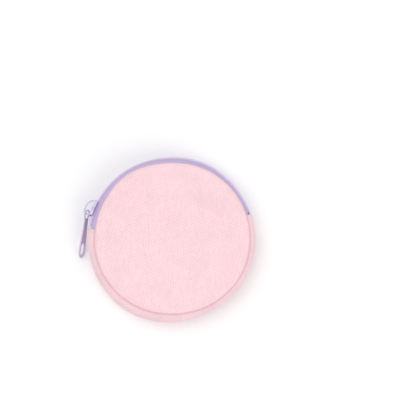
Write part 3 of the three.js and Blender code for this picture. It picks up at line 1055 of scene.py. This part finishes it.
def ribbed_weave():
    """Zip tape: fine chevrons in stripes along the tape, with painted shade that is lighter on the
    ribs' crests and darker in their grooves.
    """
    name = "Ribbed weave"
    tree = new_group(
        name,
        [
            ("Place", "NodeSocketVector", None),
            ("Rib Pitch", "NodeSocketFloat", 0.5 * MM),
            ("Stripe", "NodeSocketFloat", 1.3 * MM),
            ("Colour", "NodeSocketColor", (1, 1, 1, 1)),
        ],
        [("Color", "NodeSocketColor"), ("Height", "NodeSocketFloat")],
    )
    if tree is None:
        return bpy.data.node_groups[name]
    nodes = Tree(tree)
    given = nodes.add("NodeGroupInput").outputs
    split = nodes.add("ShaderNodeSeparateXYZ", {"Vector": given["Place"]}).outputs
    stripe = nodes.maths("PINGPONG", split["Y"], given["Stripe"])
    slant = nodes.maths("MULTIPLY_ADD", stripe, 0.8, split["X"])
    phase = nodes.maths("DIVIDE", slant, given["Rib Pitch"])
    rib = nodes.maths("SINE", nodes.maths("MULTIPLY", phase, 2 * math.pi))
    rows = nodes.maths("SINE", nodes.maths("MULTIPLY", split["Y"], 2 * math.pi / (0.42 * MM)))
    height = nodes.maths("MULTIPLY_ADD", rib, 0.32, 0.5)
    height = nodes.maths("MULTIPLY_ADD", rows, 0.16, height)
    fibre = nodes.add(
        "ShaderNodeTexNoise", {"Vector": given["Place"], "Scale": 2600.0, "Detail": 3.0}
    ).outputs["Fac"]
    # Painted shade: the ribs are lighter on their crests and darker in the grooves between them; the
    # fibre noise is real tone.
    shade = nodes.maths("MULTIPLY_ADD", height, 0.28, 0.78)
    shade = nodes.maths("MULTIPLY_ADD", fibre, 0.16, shade)
    shade = nodes.add("ShaderNodeCombineColor", {0: shade, 1: shade, 2: shade}).outputs[0]
    colour = nodes.mix_colours(1.0, given["Colour"], shade, "MULTIPLY")
    nodes.add("NodeGroupOutput", {"Color": colour, "Height": height})
    return tree


def wear():
    """Broad, faint changes of tone, as washing and handling leave them."""
    name = "Handling"
    tree = new_group(
        name,
        [
            ("Color", "NodeSocketColor", (1, 1, 1, 1)),
            ("Amount", "NodeSocketFloat", 0.05),
            ("Scale", "NodeSocketFloat", 60.0),
        ],
        [("Color", "NodeSocketColor")],
    )
    if tree is None:
        return bpy.data.node_groups[name]
    nodes = Tree(tree)
    given = nodes.add("NodeGroupInput").outputs
    place = nodes.add("ShaderNodeTexCoord").outputs["Object"]
    cloud = nodes.add(
        "ShaderNodeTexNoise", {"Vector": place, "Scale": given["Scale"], "Detail": 4.0}
    ).outputs["Fac"]
    cloud = nodes.maths("SUBTRACT", cloud, 0.5)
    shade = nodes.maths("MULTIPLY_ADD", cloud, given["Amount"], 1.0)
    shade = nodes.add("ShaderNodeCombineColor", {0: shade, 1: shade, 2: shade}).outputs[0]
    colour = nodes.mix_colours(1.0, given["Color"], shade, "MULTIPLY")
    nodes.add("NodeGroupOutput", {"Color": colour})
    return tree


def opaque(colour):
    return (*colour, 1.0)


def new_material(name, inputs, **shader):
    """A material with one Principled shader. Returns it with its tree and shader."""
    material = bpy.data.materials.new(name)
    material.use_nodes = True
    nodes = Tree(material.node_tree)
    principled = material.node_tree.nodes["Principled BSDF"]
    for socket, value in inputs.items():
        principled.inputs[socket].default_value = value
    return material, nodes, principled


def place_group(nodes, group, inputs):
    node = nodes.add("ShaderNodeGroup", node_tree=group)
    for socket, value in inputs.items():
        if isinstance(value, bpy.types.NodeSocket):
            nodes.tree.links.new(value, node.inputs[socket])
        else:
            node.inputs[socket].default_value = value
    return node.outputs


def denim(band=False):
    """Pale pink denim, its weave running across a panel or along the band."""
    name = "Denim band" if band else "Denim panel"
    if name in bpy.data.materials:
        return bpy.data.materials[name]
    colours = bpy.context.scene.pouch_colours
    material, nodes, shader = new_material(
        name,
        {
            "Roughness": 0.88,
            "Specular IOR Level": 0.25,
            "Sheen Weight": 0.25,
            "Sheen Roughness": 0.5,
            "Sheen Tint": (1, 0.95, 0.96, 1),
        },
    )
    weave = nodes.add("ShaderNodeUVMap", uv_map="weave").outputs["UV"]
    turn = math.radians(90 if band else 8)
    laid = nodes.add("ShaderNodeMapping", {"Vector": weave, "Rotation": (0, 0, turn)}).outputs[0]
    twill = place_group(
        nodes,
        twill_weave(),
        {"Place": laid, "Warp": opaque(colours.warp), "Weft": opaque(colours.weft), "Slub": 0.24},
    )
    # Painted shade: the denim is multiplied by the seam colour in the groove of each seam, where shade
    # falls.
    seam = nodes.add("ShaderNodeAttribute", attribute_name="painted_seam_shade").outputs["Fac"]
    painted_seam_darkness = nodes.maths("MULTIPLY", seam, 0.6)
    colour = nodes.mix_colours(painted_seam_darkness, twill["Color"], opaque(colours.seam), "MULTIPLY")
    worn = place_group(nodes, wear(), {"Color": colour, "Amount": 0.16, "Scale": 75.0})
    bump = nodes.add(
        "ShaderNodeBump", {"Height": twill["Height"], "Distance": 0.12 * MM, "Strength": 0.7}
    )
    nodes.tree.links.new(worn["Color"], shader.inputs["Base Color"])
    nodes.tree.links.new(bump.outputs["Normal"], shader.inputs["Normal"])
    return material


def tape_cloth():
    """The zip's woven tape."""
    name = "Zip tape"
    if name in bpy.data.materials:
        return bpy.data.materials[name]
    colours = bpy.context.scene.pouch_colours
    material, nodes, shader = new_material(
        name,
        {"Roughness": 0.75, "Specular IOR Level": 0.3, "Sheen Weight": 0.2, "Sheen Roughness": 0.4},
    )
    weave = nodes.add("ShaderNodeUVMap", uv_map="weave").outputs["UV"]
    ribs = place_group(nodes, ribbed_weave(), {"Place": weave, "Colour": opaque(colours.tape)})
    worn = place_group(nodes, wear(), {"Color": ribs["Color"], "Amount": 0.1, "Scale": 140.0})
    bump = nodes.add(
        "ShaderNodeBump", {"Height": ribs["Height"], "Distance": 0.1 * MM, "Strength": 0.6}
    )
    nodes.tree.links.new(worn["Color"], shader.inputs["Base Color"])
    nodes.tree.links.new(bump.outputs["Normal"], shader.inputs["Normal"])
    return material


def nylon():
    """The coil's glossy nylon, a little uneven in tone."""
    name = "Nylon"
    if name in bpy.data.materials:
        return bpy.data.materials[name]
    colours = bpy.context.scene.pouch_colours
    material, nodes, shader = new_material(
        name,
        {
            "Roughness": 0.32,
            "IOR": 1.53,
            "Subsurface Weight": 0.5,
            "Subsurface Radius": (1, 0.8, 1),
            "Subsurface Scale": 0.6 * MM,
        },
    )
    worn = place_group(
        nodes, wear(), {"Color": opaque(colours.nylon), "Amount": 0.16, "Scale": 320.0}
    )
    nodes.tree.links.new(worn["Color"], shader.inputs["Base Color"])
    return material


def thread():
    """The sewing thread, twisted from fine strands."""
    name = "Thread"
    if name in bpy.data.materials:
        return bpy.data.materials[name]
    colours = bpy.context.scene.pouch_colours
    material, nodes, shader = new_material(name, {"Roughness": 0.6, "Sheen Weight": 0.2})
    place = nodes.add("ShaderNodeTexCoord").outputs["Object"]
    strands = nodes.add(
        "ShaderNodeTexWave",
        {"Vector": place, "Scale": 900.0, "Distortion": 3.0, "Detail": 1.0},
        wave_type="BANDS",
        bands_direction="DIAGONAL",
    ).outputs["Fac"]
    pale = opaque([min(1, value * 1.5) for value in colours.tape])
    colour = nodes.mix_colours(strands, opaque(colours.tape), pale)
    nodes.tree.links.new(colour, shader.inputs["Base Color"])
    return material


def enamel():
    """Glossy enamel over metal."""
    name = "Enamel"
    if name in bpy.data.materials:
        return bpy.data.materials[name]
    colours = bpy.context.scene.pouch_colours
    material, nodes, shader = new_material(
        name,
        {"Roughness": 0.42, "Metallic": 0.1, "Coat Weight": 0.2, "Coat Roughness": 0.15},
    )
    worn = place_group(
        nodes, wear(), {"Color": opaque(colours.enamel), "Amount": 0.12, "Scale": 420.0}
    )
    place = nodes.add("ShaderNodeTexCoord").outputs["Object"]
    grain = nodes.add(
        "ShaderNodeTexNoise", {"Vector": place, "Scale": 900.0, "Detail": 3.0}
    ).outputs["Fac"]
    bump = nodes.add(
        "ShaderNodeBump", {"Height": grain, "Distance": 0.02 * MM, "Strength": 0.5}
    )
    nodes.tree.links.new(worn["Color"], shader.inputs["Base Color"])
    nodes.tree.links.new(bump.outputs["Normal"], shader.inputs["Normal"])
    return material


# Stage


def floor_paint():
    colours = bpy.context.scene.pouch_colours
    material, nodes, shader = new_material("Floor", {"Roughness": 0.9, "Specular IOR Level": 0.1})
    worn = place_group(
        nodes, wear(), {"Color": opaque(colours.floor), "Amount": 0.01, "Scale": 6.0}
    )
    nodes.tree.links.new(worn["Color"], shader.inputs["Base Color"])
    return material


def add_light(name, place, target, size, power, colour=(1, 1, 1)):
    data = bpy.data.lights.new(name, "AREA")
    data.shape = "DISK"
    data.size = size
    data.energy = power
    data.color = colour
    light = bpy.data.objects.new(name, data)
    bpy.context.collection.objects.link(light)
    light.location = place
    light.rotation_euler = (target - Vector(place)).to_track_quat("-Z", "Y").to_euler()
    return light


class POUCH_OT_stage(bpy.types.Operator):
    """Add the pale floor, the soft lights and the camera"""

    bl_idname = "pouch.stage"
    bl_label = "Stage"

    def execute(self, context):
        mesh = bmesh.new()
        bmesh.ops.create_grid(mesh, x_segments=2, y_segments=2, size=4)
        bmesh.ops.translate(mesh, verts=mesh.verts, vec=(0, 0, -0.2 * MM))
        data = bpy.data.meshes.new("floor")
        mesh.to_mesh(data)
        mesh.free()
        data.materials.append(floor_paint())
        floor = bpy.data.objects.new("floor", data)
        context.collection.objects.link(floor)

        middle = Vector((0, 0, side_middle()))
        add_light("key", (-0.35, 0.3, 1.0), middle, 1.1, 5.6)
        add_light("fill", (0.6, -0.6, 0.7), middle, 1.0, 3.8)
        world = bpy.data.worlds.new("Studio")
        context.scene.world = world
        world.use_nodes = True
        background = world.node_tree.nodes["Background"]
        background.inputs["Color"].default_value = (1, 1, 1, 1)
        background.inputs["Strength"].default_value = 0.6
        context.scene.view_settings.view_transform = "Standard"

        add_camera(context, middle)
        return {"FINISHED"}


# The camera looks almost straight down. The pouch's middle shows left of and below the middle of
# the picture, which is PICTURE_PIXELS wide and shows PICTURE_WIDTH at the pouch.
PICTURE_PIXELS = 400
PICTURE_WIDTH = 239.5 * MM
MIDDLE_PIXEL = (172.0, 239.5)
CAMERA_AZIMUTH = math.radians(-4.9)
CAMERA_ELEVATION = math.radians(85)
CAMERA_DISTANCE = 0.76


def add_camera(context, middle):
    data = bpy.data.cameras.new("camera")
    camera = bpy.data.objects.new("camera", data)
    context.collection.objects.link(camera)
    context.scene.camera = camera
    back = Vector(
        (
            math.sin(CAMERA_AZIMUTH) * math.cos(CAMERA_ELEVATION),
            -math.cos(CAMERA_AZIMUTH) * math.cos(CAMERA_ELEVATION),
            math.sin(CAMERA_ELEVATION),
        )
    )
    right = Vector((math.cos(CAMERA_AZIMUTH), math.sin(CAMERA_AZIMUTH), 0))
    up = back.cross(right)
    pixel = PICTURE_WIDTH / PICTURE_PIXELS
    half = PICTURE_PIXELS / 2
    aim = middle + right * (half - MIDDLE_PIXEL[0]) * pixel + up * (MIDDLE_PIXEL[1] - half) * pixel
    camera.location = aim + back * CAMERA_DISTANCE
    camera.rotation_euler = (-back).to_track_quat("-Z", "Y").to_euler()
    data.sensor_width = 36
    data.lens = data.sensor_width * CAMERA_DISTANCE / PICTURE_WIDTH
    data.clip_start = 0.01


# Add-on


class VIEW3D_PT_pouch(bpy.types.Panel):
    bl_label = "Denim Pouch"
    bl_space_type = "VIEW_3D"
    bl_region_type = "UI"
    bl_category = "Pouch"

    def draw(self, context):
        layout = self.layout
        for operator in OPERATORS:
            layout.operator(operator.bl_idname)
        for group in ("pouch", "zip", "pouch_metal", "pouch_mesh", "pouch_colours"):
            box = layout.box()
            for name in getattr(context.scene, group).__annotations__:
                box.prop(getattr(context.scene, group), name)


OPERATORS = (
    POUCH_OT_front_panel,
    POUCH_OT_back_panel,
    POUCH_OT_side_band,
    POUCH_OT_zip_tapes,
    POUCH_OT_zip_coils,
    POUCH_OT_zip_slider,
    POUCH_OT_zip_pull,
    POUCH_OT_stage,
)
GROUPS = {
    "pouch": PouchSizes,
    "zip": ZipSizes,
    "pouch_metal": MetalSizes,
    "pouch_mesh": Mesh,
    "pouch_colours": Colours,
}


def register():
    for group in GROUPS.values():
        bpy.utils.register_class(group)
    for name, group in GROUPS.items():
        setattr(bpy.types.Scene, name, PointerProperty(type=group))
    for operator in OPERATORS:
        bpy.utils.register_class(operator)
    bpy.utils.register_class(VIEW3D_PT_pouch)


def unregister():
    bpy.utils.unregister_class(VIEW3D_PT_pouch)
    for operator in reversed(OPERATORS):
        bpy.utils.unregister_class(operator)
    for name, group in GROUPS.items():
        delattr(bpy.types.Scene, name)
        bpy.utils.unregister_class(group)


def main():
    register()
    bpy.ops.pouch.stage()
    bpy.ops.pouch.front_panel()
    bpy.ops.pouch.back_panel()
    bpy.ops.pouch.side_band()
    bpy.ops.pouch.zip_tapes()
    bpy.ops.pouch.zip_coils()
    bpy.ops.pouch.zip_slider()
    bpy.ops.pouch.zip_pull()


if __name__ == "__main__":
    main()
